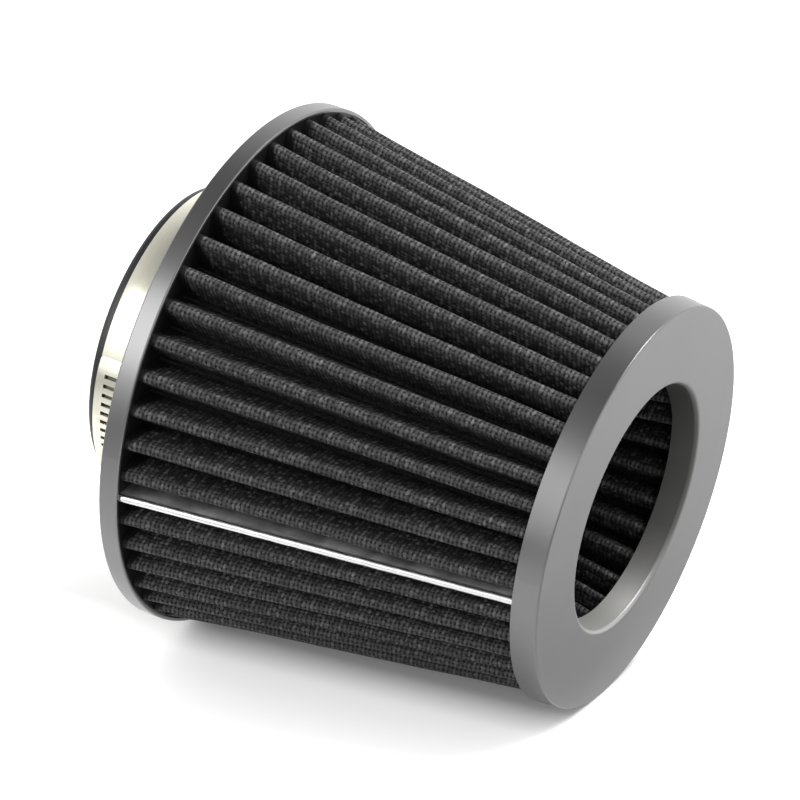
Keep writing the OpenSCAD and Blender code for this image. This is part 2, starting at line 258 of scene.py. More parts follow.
def ranged(tree, value, low, high, to_low=0.0, to_high=1.0):
    """A value moved from one range to another and held inside it."""
    made = put(tree, "ShaderNodeMapRange", {
        "Value": value, "From Min": low, "From Max": high, "To Min": to_low, "To Max": to_high})
    return made.outputs[0]


def solid(colour):
    return (*colour, 1)


def group_of(name, inputs, outputs):
    """A shader group that takes a place and numbers, the sockets of what it takes, and its last node."""
    group = bpy.data.node_groups.new(name, "ShaderNodeTree")
    sockets = group.interface
    sockets.new_socket(name="Place", in_out="INPUT", socket_type="NodeSocketVector")
    for title, value in inputs.items():
        made = sockets.new_socket(name=title, in_out="INPUT", socket_type="NodeSocketFloat")
        made.default_value = value
    for title in outputs:
        sockets.new_socket(name=title, in_out="OUTPUT", socket_type="NodeSocketFloat")
    return group, group.nodes.new("NodeGroupInput").outputs, group.nodes.new("NodeGroupOutput")


def grain_group():
    """Fine grain of a moulded, painted or rolled surface."""
    name = "Surface grain"
    if name in bpy.data.node_groups:
        return bpy.data.node_groups[name]
    group, given, leave = group_of(
        name,
        {"Fine scale": 2600.0, "Cloud scale": 60.0, "Roughness": 0.4, "Roughness spread": 0.05},
        ("Height", "Roughness", "Cloud"))
    fine = cloud_at(group, given["Place"], given["Fine scale"], 3.0)
    cloud = cloud_at(group, given["Place"], given["Cloud scale"], 4.0)
    spread = reckon(group, "MULTIPLY", reckon(group, "SUBTRACT", cloud, 0.5), given["Roughness spread"])
    rough = reckon(group, "MULTIPLY_ADD", spread, 2.0, given["Roughness"])
    feed(group, leave, {"Height": fine, "Roughness": rough, "Cloud": cloud})
    return group


def screen_group():
    """A plain woven screen. Place is in metres along the weft and along the warp."""
    group, given, leave = group_of(
        "Woven screen",
        {"Warp pitch": 1.05 * MM, "Weft pitch": 1.27 * MM, "Warp height": 0.74},
        ("Height", "Thread", "Shade"))
    split = parts_of(group, given["Place"])
    across = reckon(group, "DIVIDE", split["X"], given["Warp pitch"])
    along = reckon(group, "DIVIDE", split["Y"], given["Weft pitch"])
    thread_half = 0.38

    def thread_height(repeat, run, sign):
        number = reckon(group, "FLOOR", repeat)
        offset = reckon(group, "SUBTRACT", reckon(group, "FRACT", repeat), 0.5)
        share = reckon(group, "DIVIDE", offset, thread_half)
        round_top = reckon(group, "SQRT", reckon(
            group, "SUBTRACT", 1.0, reckon(group, "MULTIPLY", share, share), clamp=True))
        wave = reckon(group, "SINE", reckon(group, "MULTIPLY", reckon(group, "ADD", run, number), math.pi))
        lift = reckon(group, "MULTIPLY_ADD", wave, 0.32 * sign, 0.68)
        return reckon(group, "MULTIPLY", round_top, lift)

    weft = thread_height(along, across, 1)
    warp = reckon(group, "MULTIPLY", thread_height(across, along, -1), given["Warp height"])
    height = reckon(group, "MAXIMUM", weft, warp)
    cell = put(group, "ShaderNodeCombineXYZ", {
        "X": reckon(group, "FLOOR", across), "Y": reckon(group, "FLOOR", along)})
    chance = put(group, "ShaderNodeTexWhiteNoise", {"Vector": cell.outputs[0]}, noise_dimensions="2D")
    thread = ranged(group, height, 0.22, 0.75)
    feed(group, leave, {"Height": height, "Thread": thread, "Shade": chance.outputs["Value"]})
    return group


def new_material(name):
    material = bpy.data.materials.new(name)
    material.use_nodes = True
    tree = material.node_tree
    return material, tree, tree.nodes["Principled BSDF"]


def bump_into(tree, shader, height, distance):
    bump = put(tree, "ShaderNodeBump", {"Height": height, "Distance": distance})
    feed(tree, shader, {"Normal": bump.outputs["Normal"]})


def object_place(tree):
    return put(tree, "ShaderNodeTexCoord").outputs["Object"]


def from_axis(tree):
    """The distance of a shaded point from the filter's axis."""
    flat = vectors(tree, "MULTIPLY", object_place(tree), (1, 1, 0))[0]
    return vectors(tree, "DISTANCE", flat, (0, 0, 0))["Value"]


def grain_node(tree, values):
    """The surface grain of one finish, in the object's own space."""
    return put(tree, "ShaderNodeGroup", {"Place": object_place(tree), **values}, node_tree=grain_group())


def satin_material():
    """Dark satin metal finish of the base ring and the end cap, with a paler, rougher bare finish inside the
    cap's hole, whose wall carries painted light and shade.
    """
    material, tree, shader = new_material("satin_rings")
    grain = grain_node(tree, {"Fine scale": 1900.0, "Cloud scale": 45.0, "Roughness": 0.3,
                              "Roughness spread": 0.04})
    base = Vector(settings().finish.satin)
    colour = blended(tree, grain.outputs["Cloud"], solid(base * 0.88), solid(base * 1.12))
    hole = min(distances("end_cap", CAP_FRONT))
    edge_width = 0.6 * MM
    bore = ranged(tree, from_axis(tree), hole - 1.5 * edge_width, hole - edge_width, 1.0, 0.0)
    # Painted light and shade on the hole's wall: full colour on its lower side, which faces up towards the
    # light, falling to a darker copy at 0.28 of it round the rest.
    painted_light_side = polar(1, math.radians(70)) / (hole - 2 * MM)
    painted_light_share = vectors(tree, "DOT_PRODUCT", object_place(tree), painted_light_side)["Value"]
    bright = Vector(settings().finish.bore)
    wall = blended(tree, ranged(tree, painted_light_share, 0.2, 1.0), solid(bright * 0.28), solid(bright))
    feed(tree, shader, {
        "Base Color": blended(tree, bore, colour, wall),
        "Metallic": ranged(tree, bore, 0.0, 1.0, 0.9, 0.45),
        "Roughness": reckon(tree, "MULTIPLY_ADD", bore, 0.12, grain.outputs["Roughness"])})
    bump_into(tree, shader, grain.outputs["Height"], 0.006 * MM)
    return material


def rubber_material():
    """Black moulded rubber of the neck, the potting and the end plate."""
    material, tree, shader = new_material("black_rubber")
    grain = grain_node(tree, {"Fine scale": 1400.0, "Cloud scale": 70.0, "Roughness": 0.4,
                              "Roughness spread": 0.08})
    base = Vector(settings().finish.rubber)
    colour = blended(tree, grain.outputs["Cloud"], solid(base * 0.8), solid(base * 1.25))
    feed(tree, shader, {"Base Color": colour, "Roughness": grain.outputs["Roughness"]})
    bump_into(tree, shader, grain.outputs["Height"], 0.02 * MM)
    return material


def screen_material():
    """Black woven screen over dark fleece, with smooth potting that has crept up its lower end. The threads
    carry painted light: brighter on the folds that show, darker down the flanks and into the hidden folds,
    with random painted glints.
    """
    material, tree, shader = new_material("woven_screen")
    place = put(tree, "ShaderNodeUVMap", uv_map="Sheet").outputs["UV"]
    finish = settings().finish
    wander = put(tree, "ShaderNodeTexNoise", {
        "Vector": place, "Scale": 240.0, "Detail": 5.0, "Roughness": 0.72})
    wander_width = 1.9 * MM
    moved = vectors(tree, "SUBTRACT", wander.outputs["Color"], (0.5, 0.5, 0.5))[0]
    shifted = vectors(tree, "ADD", place, scaled(tree, moved, wander_width))[0]
    screen = put(tree, "ShaderNodeGroup", {"Place": shifted}, node_tree=screen_group())
    cloud = cloud_at(tree, place, 700.0, 3.0)
    deep = put(tree, "ShaderNodeAttribute", attribute_name="valley").outputs["Fac"]
    # Painted light on the threads: the folds that show get the brighter ridge range, the flanks the darker
    # one, and random cells stand out as painted glints; a random cloud varies the tone.
    crest = ranged(tree, deep, 0.06, 0.3, 1.0, 0.0)
    painted_glint_speck = reckon(tree, "POWER", screen.outputs["Shade"], 2.2)
    flank_painted_shade_and_glint = ranged(tree, painted_glint_speck, 0.0, 1.0, 0.2, 1.38)
    ridge = ranged(tree, painted_glint_speck, 0.0, 1.0, 0.68, 1.42)
    chance = put(tree, "ShaderNodeMix", {0: crest, 2: flank_painted_shade_and_glint, 3: ridge}).outputs[0]
    thread_tone_and_painted_light = reckon(tree, "MULTIPLY", chance, ranged(tree, cloud, 0.35, 0.65, 0.6, 1.3))
    # Painted shade: the threads darken towards the bottom of the hidden folds.
    thread_tone_and_painted_light = reckon(tree, "MULTIPLY", thread_tone_and_painted_light, ranged(tree, deep, 0.6, 0.9, 1.0, 0.1))
    thread = scaled(tree, finish.thread, thread_tone_and_painted_light)
    colour = blended(tree, screen.outputs["Thread"], solid(finish.fleece), thread)
    height = parts_of(tree, place)["Y"]
    ridge_creep, valley_creep, uneven = 2.9 * MM, 3.6 * MM, 2.4 * MM
    creep = reckon(tree, "MULTIPLY_ADD", deep, valley_creep, ridge_creep)
    creep = reckon(tree, "MULTIPLY_ADD", cloud_at(tree, place, 420.0, 2.0), uneven, creep)
    potted = ranged(tree, reckon(tree, "SUBTRACT", creep, height), 0.0, 0.5 * MM)
    colour = blended(tree, potted, colour, solid(finish.rubber))
    shader.inputs["Specular IOR Level"].default_value = 0.2
    rough = ranged(tree, screen.outputs["Thread"], 0.0, 1.0, 0.85, 0.42)
    feed(tree, shader, {"Base Color": colour, "Roughness": rough})
    bare = reckon(tree, "SUBTRACT", 1.0, potted)
    bump_into(tree, shader, reckon(tree, "MULTIPLY", screen.outputs["Height"], bare), 0.3 * MM)
    return material


def steel_material():
    """Bright rolled stainless steel of the clamp, faintly warm, with painted shade on the band's lower layer
    under the tail.
    """
    material, tree, shader = new_material("stainless")
    place = object_place(tree)
    stretch = put(tree, "ShaderNodeMapping", {"Vector": place, "Scale": (1.0, 1.0, 14.0)})
    lines = cloud_at(tree, stretch.outputs[0], 320.0, 4.0)
    grain = grain_node(tree, {"Roughness": 0.22, "Roughness spread": 0.06})
    base = Vector(settings().finish.steel)
    colour = blended(tree, lines, solid(base * 0.9), solid(base * 1.06))
    clamp = settings().clamp
    split = parts_of(tree, place)
    turned = reckon(tree, "ARCTAN2", split["Y"], split["X"])
    tip = clamp.housing_angle - clamp.tail_angle
    tip_edge = 0.02
    # Painted shade: the band's lower layer under the tail, seen through the slots, is darkened to 0.14 of
    # the steel's colour.
    under = reckon(tree, "MULTIPLY", reckon(tree, "GREATER_THAN", turned, tip + tip_edge),
                   reckon(tree, "LESS_THAN", turned, clamp.housing_angle))
    outside = clamp.neck_radius + clamp.band
    lower = ranged(tree, from_axis(tree), outside, outside + 2 * TOUCH, 1.0, 0.0)
    colour = blended(tree, reckon(tree, "MULTIPLY", under, lower), colour, solid(base * 0.14))
    feed(tree, shader, {"Base Color": colour, "Roughness": grain.outputs["Roughness"], "Metallic": 0.75})
    bump_into(tree, shader, lines, 0.006 * MM)
    return material


def strip_material():
    """Bright folded sheet metal of the seam clips, rougher and less metallic on the legs, whose colour is a
    darker, mottled copy of the crest's: painted shade.
    """
    material, tree, shader = new_material("bright_strip")
    place = object_place(tree)
    stretch = put(tree, "ShaderNodeMapping", {"Vector": place, "Scale": (6.0, 6.0, 1.0)})
    lines = cloud_at(tree, stretch.outputs[0], 260.0, 3.0)
    cloud = cloud_at(tree, place, 170.0, 2.0)
    base = Vector(settings().finish.strip)
    start, slope = ridge_line("outer_pleats")
    crest = reckon(tree, "MULTIPLY_ADD", parts_of(tree, place)["Z"], slope, start)
    leg = ranged(tree, reckon(tree, "SUBTRACT", crest, from_axis(tree)), 1.0 * MM, 1.8 * MM)
    # The legs' colour, mottled and as low as 0.55 of the crest's, is painted shade along with their rougher
    # finish.
    leg_mottle_and_painted_shade = blended(tree, ranged(tree, cloud, 0.35, 0.65), solid(base * 0.55), solid(base))
    bright = blended(tree, lines, solid(base * 0.9), solid(base))
    rough = ranged(tree, lines, 0.3, 0.7, 0.2, 0.34)
    feed(tree, shader, {
        "Base Color": blended(tree, leg, bright, leg_mottle_and_painted_shade),
        "Metallic": ranged(tree, leg, 0.0, 1.0, 1.0, 0.6),
        "Roughness": reckon(tree, "MULTIPLY_ADD", leg, 0.25, rough)})
    bump_into(tree, shader, lines, 0.01 * MM)
    return material


MATERIALS = {
    "satin_grey": satin_material, "black_rubber": rubber_material, "black_mesh": screen_material,
    "stainless": steel_material, "bright_strip": strip_material,
}
MADE = {}


def finish_of(slot):
    """The material of a slot of the record, built once."""
    if slot not in MADE:
        MADE[slot] = MATERIALS[slot]()
    return MADE[slot]


# Modelling helpers

def deselect():
    if bpy.context.object and bpy.context.object.mode != "OBJECT":
        bpy.ops.object.mode_set(mode="OBJECT")
    bpy.ops.object.select_all(action="DESELECT")


def pick(piece):
    """Makes one piece the only one selected."""
    deselect()
    piece.select_set(True)
    bpy.context.view_layer.objects.active = piece


def start_editing():
    bpy.ops.object.mode_set(mode="EDIT")


def done_editing():
    bpy.ops.object.mode_set(mode="OBJECT")


def nothing_chosen(piece, kind):
    """Clears the selection inside one piece and sets what edit mode selects."""
    pick(piece)
    start_editing()
    bpy.ops.mesh.select_all(action="DESELECT")
    done_editing()
    bpy.context.tool_settings.mesh_select_mode = (kind == "VERT", kind == "EDGE", kind == "FACE")


def edit_vertices(piece, test):
    """Enters edit mode with the vertices selected whose place passes a test."""
    nothing_chosen(piece, "VERT")
    for item in piece.data.vertices:
        item.select = test(item.co)
    start_editing()


def edit_edges(piece, test):
    """Enters edit mode with the edges selected whose two ends together pass a test."""
    nothing_chosen(piece, "EDGE")
    for item in piece.data.edges:
        item.select = test(*(piece.data.vertices[i].co for i in item.vertices))
    start_editing()


def edit_faces(piece, test):
    """Enters edit mode with the faces selected whose middle passes a test."""
    nothing_chosen(piece, "FACE")
    for item in piece.data.polygons:
        item.select = test(item.center)
    start_editing()


def edit_all(piece):
    nothing_chosen(piece, "VERT")
    start_editing()
    bpy.ops.mesh.select_all(action="SELECT")


def apply_modifier(piece, kind, **options):
    pick(piece)
    made = piece.modifiers.new(kind.title(), kind)
    for name, value in options.items():
        setattr(made, name, value)
    bpy.ops.object.modifier_apply(modifier=made.name)


def bake_place(piece):
    """Moves the piece's place into its mesh, so that its object sits at the origin."""
    pick(piece)
    bpy.ops.object.transform_apply(location=True, rotation=True, scale=True)


def smooth(piece, degrees=35):
    """Shades the piece smoothly, apart from its edges that turn by more than an angle."""
    pick(piece)
    bpy.ops.object.shade_smooth_by_angle(angle=math.radians(degrees))


def hand_over(piece, name, slot, *replaced):
    """Names a finished piece, gives it its finish, and lets it stand for its frame nodes."""
    piece.name = name
    piece.data.name = name
    piece.data.materials.clear()
    piece.data.materials.append(finish_of(slot))
    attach(piece, "root")
    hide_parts(*replaced)


def dress(node_name, slot):
    """Gives a frame node that keeps its shape its finish."""
    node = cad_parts[node_name]
    for place in node.material_slots:
        place.material = finish_of(slot)


# Pleated packs

FOLD_TURN = math.radians(78)
FOLD_POINTS = 9
FLANK_POINTS = 2
TAB = 0.6 * MM
TAB_GAP = 0.1 * MM
CLIP_WALL = 0.5 * MM
GATHER_BEFORE_SEAM = math.radians(17)
GATHER_WIDTH = math.radians(28)
INNER_PAINTED_SHADE_SPREAD = 1.5


def pack_folds(pack):
    """Every fold of a pack in order, as its side, 1 for a ridge and -1 for a valley, and its angle."""
    pitch = TURN / (pack.ridges - 1 + 2 * pack.seam_share)
    edge = pitch * pack.seam_share
    folds = [(-1, edge / 2)]
    for number in range(pack.ridges):
        ridge = edge + pitch * number
        last = number == pack.ridges - 1
        folds.append((1, ridge))
        folds.append((-1, TURN - edge / 2 if last else ridge + pitch / 2))
    return folds


def fold_arc(pack, side, angle, radius):
    """The points of one fold on the middle of the sheet."""
    middle = radius - pack.fold_radius if side > 0 else radius - pack.depth + pack.fold_radius
    centre = polar(middle, angle)
    points = []
    for step in range(FOLD_POINTS):
        turned = FOLD_TURN * (2 * step / (FOLD_POINTS - 1) - 1)
        facing = angle + turned if side > 0 else angle + math.pi - turned
        points.append(centre + polar(pack.fold_radius - pack.sheet / 2, facing))
    return points


def gathered(pack, angle, share):
    """How far a fold has crept round, most at the lower end and just before the seam."""
    away = (angle + GATHER_BEFORE_SEAM + math.pi) % TURN - math.pi
    return pack.gather * math.exp(-(away / GATHER_WIDTH) ** 2) * (1 - share)


def pack_section(pack, radius, share, sway):
    """The middle of the sheet round the whole pack at one height, with each fold slightly astray."""
    tab = TAB_GAP / 2 + TAB / 2
    top = radius - CLIP_WALL - TAB - TAB_GAP / 2
    low = radius - pack.clip_leg - pack.sheet / 2
    turned = Matrix.Rotation(gathered(pack, 0, share), 4, "Z")
    arcs = [[turned @ Vector((top, tab, 0)), turned @ Vector((low, tab, 0))]]
    for number, (side, angle) in enumerate(pack_folds(pack)):
        spot = Vector((number * 3.7, share * 2.6, 0.5))
        out = sway * (noise.noise(spot) + 0.35 * noise.noise(spot * 4.1))
        aside = sway * 1.3 * noise.noise(spot + Vector((0, 40, 7))) / radius
        arcs.append(fold_arc(pack, side, angle + aside + gathered(pack, angle, share), radius + out))
    arcs.append([turned @ Vector((low, -tab, 0)), turned @ Vector((top, -tab, 0))])
    points = list(arcs[0])
    for arc in arcs[1:]:
        start = points[-1]
        for step in range(1, FLANK_POINTS + 1):
            points.append(start.lerp(arc[0], step / (FLANK_POINTS + 1)))
        points.extend(arc)
    return points


def valley_shares(pack, radius):
    """How deep each point of the section lies, from 0 on a fold that shows to 1 on one that is hidden."""
    depths = [(radius - point.length) / pack.depth for point in pack_section(pack, radius, 0, 0)]
    # For a pack seen from inside, the share is turned round and spread, so the folds that show get the
    # screen's painted highlight and the hidden ones its painted shade sooner.
    return [INNER_PAINTED_SHADE_SPREAD * (1 - depth) for depth in depths] if pack.seen_inside else depths


def folded_pack(pack, name, node_name):
    """Folds one sheet into a cone of pleats, and lets it stand for the frame's pack."""
    low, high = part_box(node_name)
    start, slope = ridge_line(node_name)
    slant = math.hypot(slope, 1) * (high.z - low.z)
    middle = pack_section(pack, start + slope * (low.z + high.z) / 2, 0, 0)
    travelled = [0.0]
    for first, second in zip(middle, middle[1:]):
        travelled.append(travelled[-1] + (second - first).length)
    columns = len(middle)
    deselect()
    bpy.ops.mesh.primitive_grid_add(x_subdivisions=columns - 1, y_subdivisions=pack.rows, size=1)
    piece = bpy.context.object
    mesh = piece.data
    seam = Matrix.Rotation(pack.seam_angle, 4, "Z")
    depths = valley_shares(pack, start + slope * low.z)
    valley = mesh.attributes.new("valley", "FLOAT", "POINT")
    for row in range(pack.rows + 1):
        share = row / pack.rows
        height = low.z + (high.z - low.z) * share
        held = min(1.0, 6 * min(share, 1 - share))
        section = pack_section(pack, start + slope * height, share, pack.sway * held)
        for column, point in enumerate(section):
            index = row * columns + column
            mesh.vertices[index].co = seam @ (point + Vector((0, 0, height)))
            valley.data[index].value = depths[column]
    layer = mesh.uv_layers[0]
    layer.name = "Sheet"
    for loop in mesh.loops:
        row, column = divmod(loop.vertex_index, columns)
        layer.data[loop.index].uv = (travelled[column], slant * row / pack.rows)
    full = piece.vertex_groups.new(name="Full sheet")
    for vertex in mesh.vertices:
        column = vertex.index % columns
        in_clip = min(column, columns - 1 - column) < 2
        full.add([vertex.index], TAB / pack.sheet if in_clip else 1.0, "REPLACE")
    apply_modifier(piece, "SOLIDIFY", thickness=pack.sheet, offset=0.0, use_even_offset=True,
                   vertex_group=full.name)
    smooth(piece, 40)
    hand_over(piece, name, "black_mesh", node_name)


class CONEFILTER_OT_outer_pack(bpy.types.Operator):
    """Fold the outer pack of pleats"""

    bl_idname = "cone_filter.outer_pack"
    bl_label = "Outer pleats"

    def execute(self, context):
        folded_pack(settings().outer, "outer_pack", "outer_pleats")
        return {"FINISHED"}


class CONEFILTER_OT_inner_pack(bpy.types.Operator):
    """Fold the inner cone of pleats"""

    bl_idname = "cone_filter.inner_pack"
    bl_label = "Inner pleats"

    def execute(self, context):
        folded_pack(settings().inner, "inner_pack", "inner_pleats")
        return {"FINISHED"}


# Seam clips

def folded_clip(pack, name, node_name, pack_node):
    """Folds a strip of sheet metal over the two ends of a pack's sheet."""
    low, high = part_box(node_name)
    half = TAB_GAP / 2 + TAB + CLIP_WALL / 2
    inset = half + CLIP_WALL / 2
    start, slope = ridge_line(pack_node)
    foot = polar(start + slope * low.z - inset, pack.seam_angle + gathered(pack, 0, 0), low.z)
    head = polar(start + slope * high.z - inset, pack.seam_angle, high.z)
    run = (head - foot).normalized()
    out = polar(1, pack.seam_angle + gathered(pack, 0, 0.5))
    side = run.cross(out).normalized()
    over = side.cross(run)
    middle = (foot + head) / 2
    deselect()
    bpy.ops.mesh.primitive_cylinder_add(
        vertices=24, radius=half, depth=(head - foot).length * 1.08, end_fill_type="NOTHING",
        location=middle, rotation=Matrix((over, side, run)).transposed().to_euler())
    piece = bpy.context.object
    bake_place(piece)
    edit_faces(piece, lambda co: (co - middle).dot(over) < -0.05 * half)
    bpy.ops.mesh.delete(type="FACE")
    done_editing()
    edit_edges(piece, lambda *ends: all(abs((co - middle).dot(over)) < 0.05 * half for co in ends))
    leg = out * -(pack.clip_leg - inset)
    bpy.ops.mesh.extrude_edges_move(TRANSFORM_OT_translate={"value": leg})
    done_editing()
    for height, facing in ((low.z, -1), (high.z, 1)):
        edit_all(piece)
        bpy.ops.mesh.bisect(plane_co=(0, 0, height), plane_no=(0, 0, facing), clear_outer=True)
        done_editing()
    edit_all(piece)
    bpy.ops.mesh.remove_doubles(threshold=TOUCH / 10)
    bpy.ops.mesh.normals_make_consistent(inside=False)
    done_editing()
    edit_edges(piece, lambda first, second: (first - second).length > (head - foot).length / 2)
    bpy.ops.mesh.subdivide(number_cuts=63)
    done_editing()
    for vertex in piece.data.vertices:
        spot = vertex.co * 260
        vertex.co += side * 0.09 * MM * noise.noise(spot) + over * 0.06 * MM * noise.noise(spot * 1.7)
    apply_modifier(piece, "SOLIDIFY", thickness=CLIP_WALL, offset=0.0, use_even_offset=True)
    apply_modifier(piece, "BEVEL", width=0.08 * MM, segments=2, limit_method="ANGLE")
    smooth(piece)
    hand_over(piece, name, "bright_strip", node_name)


class CONEFILTER_OT_outer_clip(bpy.types.Operator):
    """Fold the bright clip over the outer pack's seam"""

    bl_idname = "cone_filter.outer_clip"
    bl_label = "Outer seam clip"

    def execute(self, context):
        folded_clip(settings().outer, "outer_clip", "outer_seam_clip", "outer_pleats")
        return {"FINISHED"}


# Rings and mouldings

NECK_BORE = 38 * MM
CHAMFER = 0.6 * MM
FLANGE_BACK = 2 * MM
LIP_WIDTH = 5 * MM
LIP_THICKNESS = 1.2 * MM
POTTING_DROP = 0.6 * MM


class CONEFILTER_OT_moulding(bpy.types.Operator):
    """Turn the neck, the flange and the potting, whose surface closes round the pleats"""

    bl_idname = "cone_filter.moulding"
    bl_label = "Neck moulding"

    def execute(self, context):
        neck = settings().clamp.neck_radius
        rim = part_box("neck_flange")[1].x
        lip_hole = rim - LIP_WIDTH
        back = BASE_BACK - FLANGE_BACK
        lip = BASE_BACK + LIP_THICKNESS
        top = BASE_FRONT - POTTING_DROP
        corners = [Vector((radius, 0, height)) for radius, height in (
            (NECK_BORE + CHAMFER, 0), (neck, 0), (neck, back), (lip_hole, back), (lip_hole, lip),
            (rim, lip), (rim, top), (NECK_BORE, top), (NECK_BORE, CHAMFER))]
        deselect()
        bpy.ops.mesh.primitive_circle_add(vertices=len(corners), radius=0.05)
        piece = bpy.context.object
        for vertex, corner in zip(piece.data.vertices, corners):
            vertex.co = corner
        mouth, neck_foot, back_edge, plenum_edge = (1, 1.7, 8), (2, 2.5, 8), (3, 1.0, 5), (7, 6.0, 14)
        for number, radius, segments in (mouth, neck_foot, back_edge, plenum_edge):
            edit_vertices(piece, lambda co: (co - corners[number]).length < TOUCH)
            bpy.ops.mesh.bevel(offset=radius * MM, segments=segments, affect="VERTICES")
            done_editing()
        edit_all(piece)
        bpy.ops.mesh.spin(steps=192, angle=TURN, center=(0, 0, 0), axis=(0, 0, 1))
        bpy.ops.mesh.select_all(action="SELECT")
        bpy.ops.mesh.remove_doubles(threshold=TOUCH / 5)
        bpy.ops.mesh.normals_make_consistent(inside=False)
        done_editing()
        smooth(piece, 30)
        hand_over(piece, "neck_moulding", "black_rubber", "neck_flange")
        return {"FINISHED"}


class CONEFILTER_OT_rings(bpy.types.Operator):
    """Finish the base ring, the end cap, the rubber pieces and the inner seam clip"""

    bl_idname = "cone_filter.rings"
    bl_label = "Rings and mouldings"

    def execute(self, context):
        for node_name in ("base_ring", "end_cap"):
            dress(node_name, "satin_grey")
        for node_name in ("cap_potting", "inner_end_plate"):
            dress(node_name, "black_rubber")
        dress("inner_seam_clip", "bright_strip")
        return {"FINISHED"}


# Hose clamp

TIP_CUTS = 3
BAND_CUTS = 118
TIP_CORNER = 2.2 * MM
TIP_SHARE = 0.15
RISE = math.radians(16)
FIXED_END = math.radians(2)


def half_housing(clamp):
    return math.asin(clamp.housing_length / 2 / clamp.neck_radius)


def fixed_angle(clamp):
    """Angle from the middle of the housing to the end of the band that is held in it."""
    return half_housing(clamp) - FIXED_END


def band_turns(clamp):
    """Angles travelled along the band: start of its rise, end of it, start of its tail, and its tip."""
    middle = TURN + fixed_angle(clamp)
    top = middle - half_housing(clamp)
    return top - RISE, top, middle + half_housing(clamp), middle + clamp.tail_angle


def band_radius(clamp, turn):
    """Distance of the band's inner side from the axis after a turn about it."""
    rise, top, tail, tip = band_turns(clamp)
    low = clamp.neck_radius
    high = low + clamp.band + clamp.fit + clamp.plate + clamp.fit
    if turn < rise:
        return low
    if turn < top:
        share = (turn - rise) / (top - rise)
        return low + (high - low) * share * share * (3 - 2 * share)
    if turn < tail:
        return high
    end = low + clamp.band + 2 * clamp.fit
    return high + (end - high) * (turn - tail) / (tip - tail)


def flat_band(clamp):
    """The band before it is bent, with its tip at the origin and its slots along x."""
    rise, _, _, tip = band_turns(clamp)
    wide = BAND_HIGH - BAND_LOW
    count = int(((tip - rise) * clamp.neck_radius - clamp.tip) / clamp.slot_pitch) + 1
    deselect()
    bpy.ops.mesh.primitive_plane_add(size=1, location=(clamp.tip, 0, 0))
    piece = bpy.context.object
    piece.scale = (clamp.slot_pitch, wide, 1)
    bake_place(piece)
    edit_all(piece)
    bpy.ops.mesh.inset(thickness=(clamp.slot_pitch - clamp.slot_width) / 2, depth=0)
    done_editing()
    for vertex in piece.data.vertices:
        if abs(vertex.co.y) < wide / 2 - TOUCH:
            vertex.co.y = math.copysign(clamp.slot_length / 2, vertex.co.y)
    edit_faces(piece, lambda co: abs(co.y) < TOUCH and abs(co.x - clamp.tip) < TOUCH)
    bpy.ops.mesh.delete(type="FACE")
    done_editing()
    apply_modifier(piece, "ARRAY", count=count, use_relative_offset=False, use_constant_offset=True,
                   constant_offset_displace=(clamp.slot_pitch, 0, 0), use_merge_vertices=True,
                   merge_threshold=TOUCH / 5)
    tip_end = (clamp.tip - clamp.slot_pitch / 2, 0.0, TIP_CUTS)
    plain_end = (clamp.tip + clamp.slot_pitch * (count - 0.5), tip * clamp.neck_radius, BAND_CUTS)
    for end, goal, cuts in (tip_end, plain_end):
        edit_edges(piece, lambda *ends: all(abs(co.x - end) < TOUCH / 5 for co in ends))
        bpy.ops.mesh.extrude_edges_move(TRANSFORM_OT_translate={"value": (goal - end, 0, 0)})
        done_editing()
        edit_edges(piece, lambda first, second: abs(first.x - second.x) > abs(goal - end) - TOUCH)
        bpy.ops.mesh.subdivide(number_cuts=cuts)
        done_editing()
    edit_vertices(piece, lambda co: co.x < TOUCH)
    bpy.ops.mesh.bevel(offset=TIP_CORNER, segments=5, affect="VERTICES")
    done_editing()
    return piece


class CONEFILTER_OT_clamp_band(bpy.types.Operator):
    """Punch the clamp's band, and bend it round the neck and over its saddle"""

    bl_idname = "cone_filter.clamp_band"
    bl_label = "Clamp band"

    def execute(self, context):
        clamp = settings().clamp
        piece = flat_band(clamp)
        tip = band_turns(clamp)[3]
        start = clamp.housing_angle + fixed_angle(clamp)
        middle = (BAND_LOW + BAND_HIGH) / 2
        full = piece.vertex_groups.new(name="Full band")
        for vertex in piece.data.vertices:
            turn = tip - vertex.co.x / clamp.neck_radius
            share = min(1.0, TIP_SHARE + (1 - TIP_SHARE) * vertex.co.x / clamp.tip)
            full.add([vertex.index], share, "REPLACE")
            radius = band_radius(clamp, turn) + clamp.band * share / 2
            vertex.co = polar(radius, start - turn, middle + vertex.co.y)
        apply_modifier(piece, "SOLIDIFY", thickness=clamp.band, offset=0.0, use_even_offset=True,
                       vertex_group=full.name)
        apply_modifier(piece, "BEVEL", width=0.1 * MM, segments=2, limit_method="ANGLE")
        smooth(piece)
        hand_over(piece, "band", "stainless", "clamp_band")
        return {"FINISHED"}


def edged_copy(node_name, name, width):
    """A copy of one of the clamp's nodes, with its sharp edges rounded."""
    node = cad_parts[node_name]
    piece = bpy.data.objects.new(name, node.data.copy())
    bpy.context.scene.collection.objects.link(piece)
    edit_all(piece)
    bpy.ops.mesh.customdata_custom_splitnormals_clear()
    bpy.ops.mesh.remove_doubles(threshold=TOUCH / 20)
    bpy.ops.mesh.dissolve_limited(angle_limit=math.radians(0.5))
    done_editing()
    apply_modifier(piece, "BEVEL", width=width, segments=2, limit_method="ANGLE",
                   angle_limit=math.radians(40), use_clamp_overlap=True)
    smooth(piece)
    hand_over(piece, name, "stainless", node_name)
    return piece


class CONEFILTER_OT_clamp_housing(bpy.types.Operator):
    """Round the edges of the clamp's housing and saddle"""

    bl_idname = "cone_filter.clamp_housing"
    bl_label = "Clamp housing"

    def execute(self, context):
        edged_copy("clamp_housing", "housing", 0.16 * MM)
        edged_copy("clamp_saddle", "saddle", 0.12 * MM)
        return {"FINISHED"}


